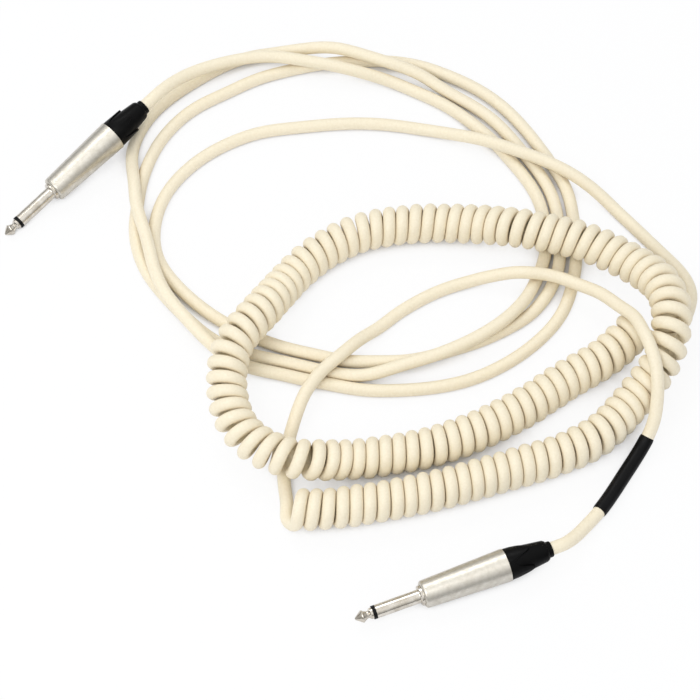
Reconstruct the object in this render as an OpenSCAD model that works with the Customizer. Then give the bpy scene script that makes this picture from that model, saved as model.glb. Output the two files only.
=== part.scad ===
// Instrument cable: two straight 6.35 mm mono plugs, a long looped lead, a curly section and a short lead.
// It lies on a floor at z = 0. Each plug is drawn along +X with its tip at the origin, then laid in place.

/* [Cord] */
// Diameter of the cord's jacket
cord_d = 6.2; // [5.6:0.1:6.4]
// Diameter of the insulation round the centre conductor
core_d = 2.9; // [2.4:0.1:3.4]
// Diameter of the stripped centre conductor
wire_d = 0.9; // [0.6:0.1:1.2]
// Diameter of the twisted screen
pigtail_d = 1.4; // [1:0.1:1.8]
// Wall of the heat-shrink sleeve
sleeve_wall = 0.4; // [0.3:0.05:0.6]
// Gap between the sleeve and the cord it is shrunk on
sleeve_gap = 0.04; // [0.02:0.01:0.08]

/* [Curly section] */
// Outer diameter of the curls
curl_od = 19.6; // [19:0.1:21]
// Number of curls
curls = 91; // [60:1:96]
// How much wider the end curls are spaced than the rest
end_curl_spread = 1.6; // [1:0.1:2]

/* [Finger] */
// Diameter of the finger that goes into the socket
finger_d = 6.35; // [6.3:0.01:6.4]
// Length of the tip, from its point to the insulator ring
tip_len = 8.4; // [7.6:0.1:9.2]
// Diameter of the tip's head
tip_head_d = 5.8; // [5.4:0.1:6.2]
// Diameter of the groove behind the tip's head
tip_neck_d = 3.4; // [3:0.1:4]
// Diameter of the tip's shoulder, next to the insulator ring
tip_shoulder_d = 5.2; // [4.8:0.1:5.6]
// Width of the insulator ring that shows behind the tip
ring_w = 1.6; // [1:0.1:2]
// Length of the finger, from the tip's point to the collar
finger_len = 31; // [30:0.1:32]
// Diameter of the rod that runs through the finger
rod_d = 2.2; // [1.8:0.1:2.6]
// Wall of the insulating tube round the rod
tube_wall = 0.7; // [0.5:0.05:0.9]
// Gap between the parts inside the finger
inner_gap = 0.05; // [0.02:0.01:0.1]
// Diameter of the collar that stands out of the shell
collar_d = 9.5; // [9:0.1:10]
// How far the collar stands out of the shell
collar_stand = 1.5; // [1:0.1:2]

/* [Shell] */
// Length of the metal shell
shell_len = 41; // [38:0.5:44]
// Diameter of the shell's front end
shell_front_d = 12.9; // [12:0.1:13.6]
// Diameter of the shell's rear end
shell_rear_d = 15.6; // [14.8:0.1:16.4]
// Radius of the rounded edge at the shell's front
shell_nose_r = 1.3; // [0.6:0.1:1.6]
// Thickness of the shell's front wall
shell_front_wall = 1.9; // [1.4:0.1:2.4]
// Diameter of the bore that holds the insert
shell_bore_d = 10.6; // [10.4:0.05:10.9]
// Diameter of the rear bore that takes the chuck and the boot's neck
shell_rear_bore_d = 12.3; // [12:0.1:12.8]
// Radial gap between parts that slide or turn in each other
fit_gap = 0.08; // [0.04:0.01:0.1]
// Gap between parts that stand end to end
end_gap = 0.3; // [0.1:0.1:0.5]

/* [Insert and contacts] */
// Thickness of the flange behind the collar
flange_t = 2.5; // [2:0.1:3]
// Diameter of the neck behind the flange
neck_d = 6; // [5.4:0.1:6.6]
// Thickness of the insert's front wall
insert_wall_t = 2; // [1.5:0.1:2.5]
// Wall of the insert's tube
insert_tube_wall = 1.1; // [0.8:0.1:1.4]
// Length of the insert
insert_len = 21; // [19:0.5:23]
// Width of the window in the insert's side
insert_window_w = 6.5; // [5:0.5:7]
// Distance of the window from the insert's front wall
insert_window_at = 1; // [0.5:0.5:2]
// Length of the insert behind its window
insert_behind_window = 3; // [2:0.5:4]
// Thickness of the sheet metal lugs
lug_t = 0.5; // [0.4:0.1:0.7]
// Width of the lugs' tails
lug_w = 2.4; // [1.8:0.1:3]
// Length of the tip lug's tail
tip_lug_len = 8; // [6:0.5:9]
// Length of the ground lug's tail
ground_lug_len = 11; // [9:0.5:12]
// Length of the screen that lies on the ground lug's tail
pigtail_lap = 3; // [2:0.5:4]
// Thickness of the washer between the lugs
washer_t = 1.2; // [0.8:0.1:1.6]

/* [Chuck and boot] */
// Length of the chuck's front ring
chuck_ring_len = 5; // [4:0.5:6]
// Length of the chuck's fingers
chuck_finger_len = 9; // [7:0.5:10]
// Diameter of the chuck's fingers at their tips
chuck_tip_d = 8.4; // [8.2:0.1:8.8]
// Width of the slots between the chuck's fingers
chuck_slot_w = 1; // [0.6:0.1:1.4]
// Number of slots in the chuck
chuck_slots = 4; // [2:1:6]
// Length of the boot that shows behind the shell
boot_len = 22; // [20:0.5:24]
// Diameter of the boot's rear end
boot_tail_d = 10; // [9.4:0.1:10.8]
// Length of the boot's threaded neck inside the shell
boot_neck_len = 8; // [6:0.5:8]
// Step between the shell's edge and the boot
boot_step = 0.35; // [0.2:0.05:0.5]
// Width of the four finger hollows cut in the boot
hollow_w = 6.6; // [5:0.1:7]
// Distance of the hollows from the shell
hollow_at = 4.5; // [3.5:0.5:7]
// Depth of the hollows at their front ends
hollow_depth = 1.2; // [0.6:0.1:1.4]
// Gap between the cord and the boot's bore
boot_cord_gap = 0.35; // [0.3:0.05:0.6]
// How far the boot screws out
boot_travel = 5; // [4:0.5:6]

/* [Where the plugs lie] */
// Heading of the first plug, from its tip to its cord, in degrees from +X
plug_a_heading = 45; // [43:1:47]
// Upward tilt of the first plug towards its cord
plug_a_tilt = 9; // [7:0.5:10]
// Heading of the second plug, from its tip to its cord, in degrees from +X
plug_b_heading = 20.5; // [19:0.5:22]
// Turn of the second plug about its own middle line
plug_b_roll = 28; // [0:1:90]

/* [Hidden] */
$fn = 48;

nickel = [0.80, 0.79, 0.76];
satin_nickel = [0.72, 0.71, 0.68];
black = [0.10, 0.10, 0.11];
cream = [0.93, 0.88, 0.76];
white_plastic = [0.85, 0.85, 0.82];
copper = [0.75, 0.45, 0.28];

// Places along a plug, measured from the point of its tip
collar_at = finger_len;
shell_at = collar_at + collar_stand;
shell_end = shell_at + shell_len;
boot_end = shell_end + boot_len;
flange_at = shell_at + shell_front_wall + fit_gap;
flange_end = flange_at + flange_t;
insert_at = flange_end + inner_gap;
insert_end = insert_at + insert_len;
ground_lug_at = insert_at + insert_wall_t + inner_gap;
washer_at = ground_lug_at + lug_t + inner_gap;
tip_lug_at = washer_at + washer_t + inner_gap;
rod_end = tip_lug_at + lug_t + 0.6;
chuck_at = insert_end + end_gap;
chuck_fingers_at = chuck_at + chuck_ring_len;
chuck_end = chuck_fingers_at + chuck_finger_len;
// The boot's neck stays behind the chuck's ring
boot_neck_at = max(shell_end - boot_neck_len, chuck_fingers_at + end_gap);
jacket_at = chuck_at - 1;
lug_tail_end = tip_lug_at + tip_lug_len;
core_at = lug_tail_end + wire_d;
pigtail_y = core_d / 2 + inner_gap + pigtail_d / 2;
ground_tail_y = pigtail_y + pigtail_d / 2 + lug_t / 2;
nose_r = min(shell_nose_r, shell_front_d / 2 - collar_d / 2 - fit_gap - 0.1);
rear_bore_at = chuck_at - end_gap / 2;
shell_taper = (shell_rear_d - shell_front_d) / 2 / shell_len;

// Where the plugs' tips lie, in the layout's own coordinates
tip_a = [-129.6, 66.2];
tip_b = [42.2, -140.8];
plug_b_tilt = atan(shell_taper);
tip_head_at = tip_len * 0.42;
tip_a_rise = tip_head_d / 2 * cos(plug_a_tilt) - tip_head_at * sin(plug_a_tilt);
tip_b_rise = shell_front_d / 2 * cos(plug_b_tilt) - shell_at * sin(plug_b_tilt);
function unit(v) = v / norm(v);
function aim(heading, tilt) = [cos(tilt) * cos(heading), cos(tilt) * sin(heading), sin(tilt)];
aim_a = aim(plug_a_heading, plug_a_tilt);
aim_b = aim(plug_b_heading, plug_b_tilt);

// The middle of the two plugs' outline becomes the part's origin
tip_point_r = 0.7;
boot_edge_r = boot_tail_d / 2 - 1;
function across(v) = [sqrt(1 - v.x * v.x), sqrt(1 - v.y * v.y)];
left = tip_a.x - tip_point_r * across(aim_a).x;
right = tip_b.x + boot_end * aim_b.x + boot_edge_r * across(aim_b).x;
front = tip_b.y + tip_head_at * aim_b.y - tip_head_d / 2 * across(aim_b).y;
back = tip_a.y + boot_end * aim_a.y + boot_edge_r * across(aim_a).y;
middle = [(left + right) / 2, (front + back) / 2];
function on_a(s) = [tip_a.x - middle.x, tip_a.y - middle.y, tip_a_rise] + s * aim_a;
function on_b(s) = [tip_b.x - middle.x, tip_b.y - middle.y, tip_b_rise] + s * aim_b;

// A route point is [x, y, lift], where lift is the free height under the cord or the curls
function laid(points, radius) = [for (p = points) [p.x - middle.x, p.y - middle.y, radius + p.z]];

// The long lead: four rounds that cross each other, from the first plug to the curly section
lead_a_points = [
    [-54, 142.9, 14.5], [-49, 148.5, 13], [-44, 153.2, 11.5], [-38, 157.4, 10.3], [-28, 162.5, 8.8],
    [-14, 167.2, 7.5], [0, 169, 7], [16, 166.5, 7], [30, 164, 6.5], [44, 161, 5], [60, 158, 1],
    [75, 151, 0], [89, 143, 0], [103, 131, 0], [113, 120, 0], [120, 110, 0], [128, 98, 0], [134, 84, 0],
    [136, 70, 0], [136, 56, 0], [132, 43, 0], [125, 27, 4], [114, 13, 7], [100, 3, 7], [82, -6, 7],
    [64, -11, 5], [46, -15, 2], [26, -11, 0], [11, -7, 0], [-5, -3, 0], [-17, 1, 0], [-26, 6, 0],
    [-37, 16, 0], [-46, 26, 0], [-54, 36, 0], [-60, 46, 0], [-64, 57, 0], [-66, 70, 0], [-65, 83, 0],
    [-64, 95, 0], [-61, 107, 0], [-56, 120, 0], [-48, 132, 0], [-38, 142, 0], [-23, 151, 0], [-7, 160, 0],
    [8, 165, 0], [24, 169, 0], [41, 171, 0], [60, 171, 0], [76, 168, 0], [90, 162, 0], [104, 154, 0],
    [117, 143, 0], [128, 129, 0], [136, 116, 0], [143, 103, 0], [148, 91, 0], [150, 76, 0], [151, 62, 0],
    [150, 47, 0], [147, 33, 0], [142, 20, 0], [132, 7, 0], [118, -5, 0], [100, -15, 0], [82, -20, 0],
    [64, -21.8, 0], [46, -21.7, 0], [32, -18.9, 0], [18, -15.95, 0], [5, -13, 1], [-8, -11, 3],
    [-17, -7, 4], [-26, 0, 6], [-37, 12, 7], [-47, 25, 7], [-54, 39, 7], [-60, 62, 7], [-65, 78, 7],
    [-67, 95, 6], [-69, 108, 2], [-68, 121, 0], [-63, 133, 0], [-58, 141, 0], [-47, 152, 0], [-38, 159, 0],
    [-28, 166, 0], [-14, 173, 0], [0, 176, 0], [18, 177, 3], [32, 175, 6.5], [44, 171, 7], [60, 165, 7],
    [75, 160, 4.5], [89, 151, 1.5], [105, 141, 0], [116, 130, 0], [125, 117, 0], [133, 104, 0],
    [139, 92, 0], [142, 79, 0], [143, 62, 0], [142, 48, 0], [138, 36, 0], [129, 22, 0], [117, 13, 0],
    [102, 5, 0], [88, 0, 0], [76, -4, 0], [64, -6, 0], [50, -6, 0], [38, -6, 0], [26, -3, 0], [10, 1, 0],
    [-3, 6, 0], [-13, 11, 0], [-23, 17, 0], [-33, 25, 0], [-42, 34, 0], [-49, 43, 0], [-54, 52, 0],
    [-56, 62, 0], [-56, 72, 0], [-54, 82, 0], [-50, 92, 0], [-43, 102, 0], [-33, 112, 0], [-19, 121, 0],
    [-4, 127, 0], [16, 130, 0], [35, 132, 0], [53, 132, 0], [74, 129, 0], [93, 124, 2], [107, 118, 6],
    [118, 113, 7], [130, 108, 7], [142, 102, 7], [152, 96, 6], [162, 89, 3], [173, 78, 0], [184, 65, 0],
    [193, 54, 0], [201, 44, 0], [204.8, 36, 0], [205.4, 29.5, 0], [204, 23.5, 0], [201.4, 18.5, 0],
    [199.6, 14.5, 0], [197.4, 10.2, 0], [194.6, 6.4, 0], [191.2, 4.1, 0], [187.2, 3.5, 0]
];
// The short lead: from the curly section, under it and over its bend, to the second plug
lead_b_points = [
    [9.9, -75, 0], [9.2, -67, 0], [9.4, -58, 0], [11.8, -47, 1], [15, -37, 5], [19, -27, 7], [26, -16, 7],
    [36, -6, 7], [45, 4, 4], [54, 12, 1], [65, 22, 0], [83, 33, 0], [101, 39, 1], [112, 40, 4],
    [122, 39, 8], [138, 37, 8], [151, 31, 9], [160, 24, 13], [169, 13, 18], [174, 6.2, 21.8],
    [177.2, -3.8, 25.8], [180.2, -13.8, 27.4], [182.4, -23, 25.2], [183.2, -30.4, 20.8], [183, -36.6, 15.4],
    [182, -43, 10], [179, -49, 4], [174, -57, 1], [167, -68, 0.6], [160, -79, 0.6], [155, -86, 0.8],
    [152, -90, 1.3], [148, -94.5, 2.1], [144, -99.3, 3.3]
];
sleeve_first = 28;
sleeve_last = 32;
// The middle line of the curly section, from the long lead's end to the short lead's end
curly_points = [
    [178, 10, 0], [171, 2, 0], [163, -6, 0], [155, -12, 0], [145, -18, 0], [134, -26, 0], [123, -34, 0],
    [111, -41, 0], [100, -47, 0], [88, -52, 0], [77, -56, 0], [63, -59, 0], [52, -61, 0], [39, -63, 1],
    [26, -65, 5], [17, -66, 7], [9, -64, 7], [1.5, -61, 7], [-5.2, -56.4, 7], [-10.8, -50.4, 7],
    [-14.6, -42.8, 7.5], [-17, -34.3, 8], [-17.6, -25, 10], [-17, -16, 11], [-15, -7, 11.5], [-10, 1, 11.5],
    [-4, 10, 10], [2, 19.8, 7], [9.4, 32.6, 2], [18, 44.2, 0], [30.2, 54.3, 0], [45, 62.5, 0], [60, 66, 0],
    [79, 68, 0], [104, 66, 2], [115, 63, 5], [127, 60, 7], [139, 57, 7], [151, 54, 7], [161, 50, 6],
    [170, 45, 6], [178, 39, 7], [183.4, 33.5, 9], [188.4, 26.4, 11.6], [191.2, 17.6, 14], [192, 8.6, 14.8],
    [191.4, -0.4, 14], [189.6, -8, 11.4], [187, -13.8, 8.2], [184, -18, 5.4], [180.6, -22, 3],
    [176.8, -26.6, 1.2], [172.8, -31.4, 0.2], [168.9, -35.9, 0], [163, -42.8, 0], [156.2, -49.6, 0],
    [147.4, -54.8, 0], [137, -60, 0], [122, -65, 0], [107, -70, 0], [94, -74, 0], [81, -78, 0],
    [68, -81, 0], [55, -84, 0], [42, -86, 0], [29, -88, 0], [10.8, -88, 0]
];

// A smooth curve through the points, which leaves the first one and reaches the last one in given directions
function heading_at(points, i, first_dir, last_dir) =
    i == 0 ? first_dir : i == len(points) - 1 ? last_dir : unit(points[i + 1] - points[i - 1]);
function between(p, q, p_dir, q_dir, t) =
    let (l = norm(q - p), t2 = t * t, t3 = t2 * t)
    (2 * t3 - 3 * t2 + 1) * p + (t3 - 2 * t2 + t) * l * p_dir + (3 * t2 - 2 * t3) * q + (t3 - t2) * l * q_dir;
function smooth(points, first_dir, last_dir, steps) = concat([points[0]], [
    for (i = [0 : len(points) - 2])
        let (a = heading_at(points, i, first_dir, last_dir))
        let (b = heading_at(points, i + 1, first_dir, last_dir))
        for (k = [1 : steps]) between(points[i], points[i + 1], a, b, k / steps)
]);
function travelled(points, i = 0, sum = 0) =
    i == len(points) ? [] : let (s = i == 0 ? 0 : sum + norm(points[i] - points[i - 1]))
    concat([s], travelled(points, i + 1, s));

// The curls: a left-hand helix round the curly section's middle line
curl_sides = 6;
rings_per_curl = 8;
curl_r = (curl_od - cord_d) / 2;
axis_steps = 6;
axis_ends = laid(curly_points, curl_od / 2);
axis_last = len(axis_ends) - 1;
axis_first_dir = unit(axis_ends[1] - axis_ends[0]);
axis_last_dir = unit(axis_ends[axis_last] - axis_ends[axis_last - 1]);
axis_line = smooth(axis_ends, axis_first_dir, axis_last_dir, axis_steps);
axis_length = travelled(axis_line);
function turn_between(u, v) = asin(min(1, norm(cross(u, v)))) * PI / 180;
function bend_at(i) =
    i == 0 || i == len(axis_line) - 1 ? 0
    : let (u = axis_line[i] - axis_line[i - 1], v = axis_line[i + 1] - axis_line[i])
      turn_between(unit(u), unit(v)) / (norm(u) + norm(v)) * 2;
// The curls touch at the inner side of a bend, so they stand further apart on its middle line
bend_reach = 4;
function mean_bend(i) =
    let (a = max(0, i - bend_reach), b = min(len(axis_line) - 1, i + bend_reach), n = b - a + 1)
    [for (k = [a : b]) bend_at(k)] * [for (k = [a : b]) 1 / n];
function end_factor(i) =
    let (s = axis_length[i], l = axis_length[len(axis_length) - 1], reach = 8)
    s < reach || s > l - reach ? end_curl_spread : 1;
spread = [for (i = [0 : len(axis_line) - 1]) (1 + curl_r * mean_bend(i)) * end_factor(i)];
function phase(i = 1, sum = 0) =
    i == len(axis_line) ? []
    : let (step = axis_length[i] - axis_length[i - 1], s = sum + step * 2 / (spread[i] + spread[i - 1]))
      concat([s], phase(i + 1, s));
phases = concat([0], phase());
phase_end = phases[len(phases) - 1];
by_x = [for (i = [0 : len(axis_line) - 1]) [phases[i] / phase_end, axis_line[i].x]];
by_y = [for (i = [0 : len(axis_line) - 1]) [phases[i] / phase_end, axis_line[i].y]];
by_z = [for (i = [0 : len(axis_line) - 1]) [phases[i] / phase_end, axis_line[i].z]];
function axis_at(f) = [lookup(f, by_x), lookup(f, by_y), lookup(f, by_z)];
frame_reach = 0.006;
function axis_dir(f) = unit(axis_at(min(1, f + frame_reach)) - axis_at(max(0, f - frame_reach)));
function outward(f) =
    let (t = axis_dir(f), n = unit(cross([0, 0, 1], t)), b = cross(t, n), a = -90 - 360 * curls * f)
    cos(a) * n + sin(a) * b;
curl_rings = curls * rings_per_curl;
curl_out = [for (k = [0 : curl_rings]) outward(k / curl_rings)];
curl_line = [for (k = [0 : curl_rings]) axis_at(k / curl_rings) + curl_r * curl_out[k]];
// The curls start and end at their lowest point, where the cord runs level
start_run = unit(cross(axis_dir(0), [0, 0, 1]));
end_run = unit(cross(axis_dir(1), [0, 0, 1]));
curl_start = curl_line[0] - cord_d * start_run;
curl_end = curl_line[curl_rings] + cord_d * end_run;

// Each lead runs straight behind its boot for the boot's whole travel
straight_run = boot_travel;
lead_sides = 8;
// The leads reach the curls straight on for a short length, so that their ends lie flat against each other
meeting_run = cord_d / 3;
lead_a_line = concat(
    [on_a(jacket_at), on_a(boot_end), on_a(boot_end + straight_run)],
    laid(lead_a_points, cord_d / 2),
    [curl_start - meeting_run * start_run, curl_start]
);
lead_b_line = concat(
    [curl_end, curl_end + meeting_run * end_run],
    laid(lead_b_points, cord_d / 2),
    [on_b(boot_end + straight_run), on_b(boot_end), on_b(jacket_at)]
);

// A tube swept along a line of points, its rings turned so that out[i] lies on a side
function run_dir(line, i) = unit(line[min(len(line) - 1, i + 1)] - line[max(0, i - 1)]);
function ring(centre, dir, out, r, sides) =
    let (v = unit(cross(dir, out)), u = cross(v, dir))
    [for (k = [0 : sides - 1]) centre + r * (cos(360 * k / sides) * u + sin(360 * k / sides) * v)];
module swept(line, outs, r, sides) {
    rings = [for (i = [0 : len(line) - 1]) ring(line[i], run_dir(line, i), outs[i], r, sides)];
    last = len(line) - 1;
    walls = [
        for (i = [0 : last - 1])
            for (k = [0 : sides - 1])
                let (a = i * sides + k, b = i * sides + (k + 1) % sides)
                each [[a, b, a + sides], [b, b + sides, a + sides]]
    ];
    caps = [
        for (k = [1 : sides - 2]) each [[0, k + 1, k], [last * sides, last * sides + k, last * sides + k + 1]]
    ];
    polyhedron(points = [for (r = rings) each r], faces = concat(walls, caps), convexity = 20);
}
function upright(line) = [for (p = line) [0, 0, 1]];

module on_plug_a() {
    translate(on_a(0)) rotate([0, 0, plug_a_heading]) rotate([0, -plug_a_tilt, 0]) children();
}
module on_plug_b() {
    translate(on_b(0)) rotate([0, 0, plug_b_heading]) rotate([0, -plug_b_tilt, 0]) rotate([plug_b_roll, 0, 0])
        children();
}

// A turned piece along the plug: points are [place along the plug, radius]
module turned(points) {
    rotate([0, 90, 0]) rotate([0, 0, 90]) rotate_extrude(convexity = 6)
        polygon([for (p = points) [p.y, p.x]]);
}
module bar(from, to, d) {
    translate([from, 0, 0]) rotate([0, 90, 0]) cylinder(h = to - from, d = d);
}

module tip_contact() {
    head_r = tip_head_d / 2;
    neck_at = tip_len * 0.68;
    neck_end = tip_len * 0.76;
    shoulder_at = tip_len * 0.88;
    color(nickel) turned([
        [0, 0], [0, tip_point_r * 0.6], [0.3, tip_point_r], [tip_head_at - 0.7, head_r - 0.35],
        [tip_head_at - 0.2, head_r - 0.05], [tip_head_at, head_r], [tip_head_at + 0.3, head_r - 0.05],
        [tip_head_at + 0.7, head_r - 0.4], [neck_at, tip_neck_d / 2], [neck_end, tip_neck_d / 2],
        [shoulder_at, tip_shoulder_d / 2], [tip_len, tip_shoulder_d / 2], [tip_len, rod_d / 2],
        [rod_end, rod_d / 2], [rod_end, 0]
    ]);
}

tube_r = rod_d / 2 + inner_gap;
tube_out_r = tube_r + tube_wall;
module tip_insulator() {
    ring_at = tip_len + inner_gap;
    ring_end = tip_len + ring_w;
    tube_end = insert_at + insert_wall_t;
    color(black) turned([
        [ring_at, tube_r], [ring_at, finger_d / 2], [ring_end, finger_d / 2], [ring_end, tube_out_r],
        [tube_end, tube_out_r], [tube_end, tube_r]
    ]);
}

module sleeve_contact() {
    barrel_at = tip_len + ring_w + inner_gap;
    bore_r = tube_out_r + inner_gap;
    neck_end = insert_at + insert_wall_t;
    edge = 0.4;
    color(nickel) turned([
        [barrel_at, bore_r], [barrel_at, finger_d / 2], [collar_at, finger_d / 2],
        [collar_at, collar_d / 2 - edge],
        [collar_at + edge, collar_d / 2], [flange_at, collar_d / 2], [flange_at, shell_bore_d / 2 - fit_gap],
        [flange_end, shell_bore_d / 2 - fit_gap], [flange_end, neck_d / 2], [neck_end, neck_d / 2],
        [neck_end, bore_r]
    ]);
}

module insert() {
    out_r = shell_bore_d / 2 - fit_gap;
    in_r = out_r - insert_tube_wall;
    wall_end = insert_at + insert_wall_t;
    window_at = wall_end + insert_window_at;
    window_len = insert_end - insert_behind_window - window_at;
    color(white_plastic) difference() {
        turned([
            [insert_at, neck_d / 2 + inner_gap], [insert_at, out_r], [insert_end, out_r], [insert_end, in_r],
            [wall_end, in_r], [wall_end, neck_d / 2 + inner_gap]
        ]);
        translate([window_at, -insert_window_w / 2, 0]) cube([window_len, insert_window_w, out_r + 1]);
    }
}

// A sheet metal lug: a washer round the plug's middle with a tail that runs rearwards
module lug(at, bore, washer_d, tail_y, tail_len) {
    difference() {
        union() {
            bar(at, at + lug_t, washer_d);
            translate([at, tail_y - lug_t / 2, -lug_w / 2]) cube([tail_len, lug_t, lug_w]);
        }
        bar(at - 1, at + lug_t + 1, bore);
    }
}
module ground_lug() {
    washer_d = 2 * ground_tail_y + lug_t;
    color(nickel) lug(ground_lug_at, 2 * (tube_out_r + inner_gap), washer_d, -ground_tail_y, ground_lug_len);
}
tip_tail_y = rod_d / 2 + 2 * inner_gap + lug_t / 2;
module tip_lug() {
    color(nickel) lug(tip_lug_at, rod_d + 2 * inner_gap, 2 * tip_tail_y + 2 * lug_t, tip_tail_y, tip_lug_len);
}
module rear_insulator() {
    color(black) turned([
        [washer_at, tube_r], [washer_at, ground_tail_y - lug_t / 2 - inner_gap],
        [washer_at + washer_t, ground_tail_y - lug_t / 2 - inner_gap], [washer_at + washer_t, tube_r]
    ]);
}
module core() {
    color(white_plastic) bar(core_at, jacket_at, core_d);
}
// The stripped conductor lies on the tip lug's tail and bends down to the core behind the tail's end
module centre_conductor() {
    wire_at = tip_lug_at + tip_lug_len * 0.4;
    wire_y = tip_tail_y + lug_t / 2 + wire_d / 2;
    color(copper) {
        translate([0, wire_y, 0]) bar(wire_at, core_at, wire_d);
        translate([lug_tail_end + inner_gap, 0, -wire_d / 2]) cube([wire_d - inner_gap, wire_y, wire_d]);
    }
}
module shield_pigtail() {
    tail_end = ground_lug_at + ground_lug_len;
    color(copper) translate([0, -pigtail_y, 0]) bar(tail_end - pigtail_lap, jacket_at, pigtail_d);
}

module shell() {
    front_r = shell_front_d / 2;
    turn_in = [
        for (a = [0 : 15 : 90]) [
            shell_at + nose_r * (1 - sin(a)), front_r + shell_taper * nose_r - nose_r * (1 - cos(a))
        ]
    ];
    nose = [for (i = [len(turn_in) - 1 : -1 : 0]) turn_in[i]];
    inner_at = shell_at + shell_front_wall;
    color(satin_nickel) turned(concat(
        [[shell_at, collar_d / 2 + fit_gap]], [for (p = nose) [p.x, p.y]],
        [
            [shell_end, shell_rear_d / 2], [shell_end, shell_rear_bore_d / 2],
            [rear_bore_at, shell_rear_bore_d / 2],
            [rear_bore_at, shell_bore_d / 2], [inner_at, shell_bore_d / 2], [inner_at, collar_d / 2 + fit_gap]
        ]
    ));
}

chuck_root_d = chuck_tip_d + 1.6;
module chuck() {
    bore_r = cord_d / 2 + fit_gap;
    color(black) difference() {
        turned([
            [chuck_at, bore_r], [chuck_at, shell_rear_bore_d / 2 - fit_gap],
            [chuck_fingers_at, shell_rear_bore_d / 2 - fit_gap], [chuck_fingers_at, chuck_root_d / 2],
            [chuck_end, chuck_tip_d / 2], [chuck_end, bore_r]
        ]);
        for (k = [0 : chuck_slots - 1])
            rotate([k * 360 / chuck_slots, 0, 0])
                translate([chuck_at + 2, -chuck_slot_w / 2, 0])
                    cube([chuck_end - chuck_at, chuck_slot_w, shell_rear_d]);
    }
}

module boot() {
    neck_out_r = shell_rear_bore_d / 2 - fit_gap;
    head_r = shell_rear_d / 2 - boot_step;
    tail_r = boot_tail_d / 2;
    bore_r = cord_d / 2 + boot_cord_gap;
    cone_front_r = chuck_root_d / 2 + fit_gap;
    cone_end = chuck_end + 1;
    head_at = shell_end + 0.1;
    taper_at = shell_end + hollow_at;
    // Each hollow runs down to the boot's end a little less steeply than the boot's own side
    floor_front_r = head_r - hollow_depth;
    floor_end_r = tail_r - hollow_depth * 0.6;
    hollow_len = boot_end - taper_at;
    color(black) difference() {
        turned([
            [boot_neck_at, cone_front_r], [boot_neck_at, neck_out_r], [head_at, neck_out_r],
            [head_at, head_r], [taper_at, head_r], [boot_end - 1.6, tail_r], [boot_end - 0.5, tail_r - 0.4],
            [boot_end, boot_edge_r], [boot_end, bore_r], [cone_end, bore_r], [cone_end, cone_front_r]
        ]);
        for (k = [0 : 3])
            rotate([k * 90, 0, 0])
                translate([taper_at, 0, floor_front_r])
                    rotate([0, atan((floor_front_r - floor_end_r) / hollow_len), 0])
                        hull() {
                            translate([hollow_w / 2, 0, 0]) cylinder(h = head_r, d = hollow_w);
                            translate([hollow_len + hollow_w, 0, 0]) cylinder(h = head_r, d = hollow_w);
                        }
    }
}

module lead_a() {
    color(cream) swept(lead_a_line, upright(lead_a_line), cord_d / 2, lead_sides);
}
module lead_b() {
    color(cream) swept(lead_b_line, upright(lead_b_line), cord_d / 2, lead_sides);
}
module curly_section() {
    line = concat([curl_start], curl_line, [curl_end]);
    outs = concat([curl_out[0]], curl_out, [curl_out[curl_rings]]);
    apart = ceil(rings_per_curl * 0.6);
    least = min([
        for (i = [0 : len(line) - 1 - apart])
            for (j = [i + apart : len(line) - 1])
                norm(line[i] - line[j])
    ]);
    echo(curls = curls, least_gap_between_curls = least - cord_d);
    color(cream) swept(line, outs, cord_d / 2, curl_sides);
}
module heat_shrink_sleeve() {
    sides = lead_sides;
    last = sleeve_last - sleeve_first;
    function round_lead(i, r) = ring(lead_b_line[i], run_dir(lead_b_line, i), [0, 0, 1], r, sides);
    out_rings = [for (i = [sleeve_first : sleeve_last]) round_lead(i, cord_d / 2 + sleeve_wall)];
    in_rings = [for (i = [sleeve_first : sleeve_last]) round_lead(i, cord_d / 2 + sleeve_gap)];
    inner = (last + 1) * sides;
    walls = [
        for (i = [0 : last - 1])
            for (k = [0 : sides - 1])
                let (a = i * sides + k, b = i * sides + (k + 1) % sides)
                each [
                    [a, b, a + sides], [b, b + sides, a + sides],
                    [inner + a, inner + a + sides, inner + b],
                    [inner + b, inner + a + sides, inner + b + sides]
                ]
    ];
    ends = [
        for (k = [0 : sides - 1])
            let (b = (k + 1) % sides, e = last * sides)
            each [
                [k, inner + k, b], [b, inner + k, inner + b],
                [e + k, e + b, inner + e + k], [e + b, inner + e + b, inner + e + k]
            ]
    ];
    color(black) polyhedron(
        points = concat([for (r = out_rings) each r], [for (r = in_rings) each r]),
        faces = concat(walls, ends), convexity = 10);
}

on_plug_a() tip_contact();  // tip_contact_a
on_plug_a() tip_insulator();  // tip_insulator_a
on_plug_a() sleeve_contact();  // sleeve_contact_a
on_plug_a() rear_insulator();  // rear_insulator_a
on_plug_a() tip_lug();  // tip_lug_a
on_plug_a() ground_lug();  // ground_lug_a
on_plug_a() insert();  // insert_a
on_plug_a() shell();  // shell_a
on_plug_a() chuck();  // chuck_a
on_plug_a() boot();  // boot_a
on_plug_a() core();  // core_a
on_plug_a() centre_conductor();  // centre_conductor_a
on_plug_a() shield_pigtail();  // shield_pigtail_a
lead_a();
curly_section();
lead_b();
heat_shrink_sleeve();
on_plug_b() tip_contact();  // tip_contact_b
on_plug_b() tip_insulator();  // tip_insulator_b
on_plug_b() sleeve_contact();  // sleeve_contact_b
on_plug_b() rear_insulator();  // rear_insulator_b
on_plug_b() tip_lug();  // tip_lug_b
on_plug_b() ground_lug();  // ground_lug_b
on_plug_b() insert();  // insert_b
on_plug_b() shell();  // shell_b
on_plug_b() chuck();  // chuck_b
on_plug_b() boot();  // boot_b
on_plug_b() core();  // core_b
on_plug_b() centre_conductor();  // centre_conductor_b
on_plug_b() shield_pigtail();  // shield_pigtail_b
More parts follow.
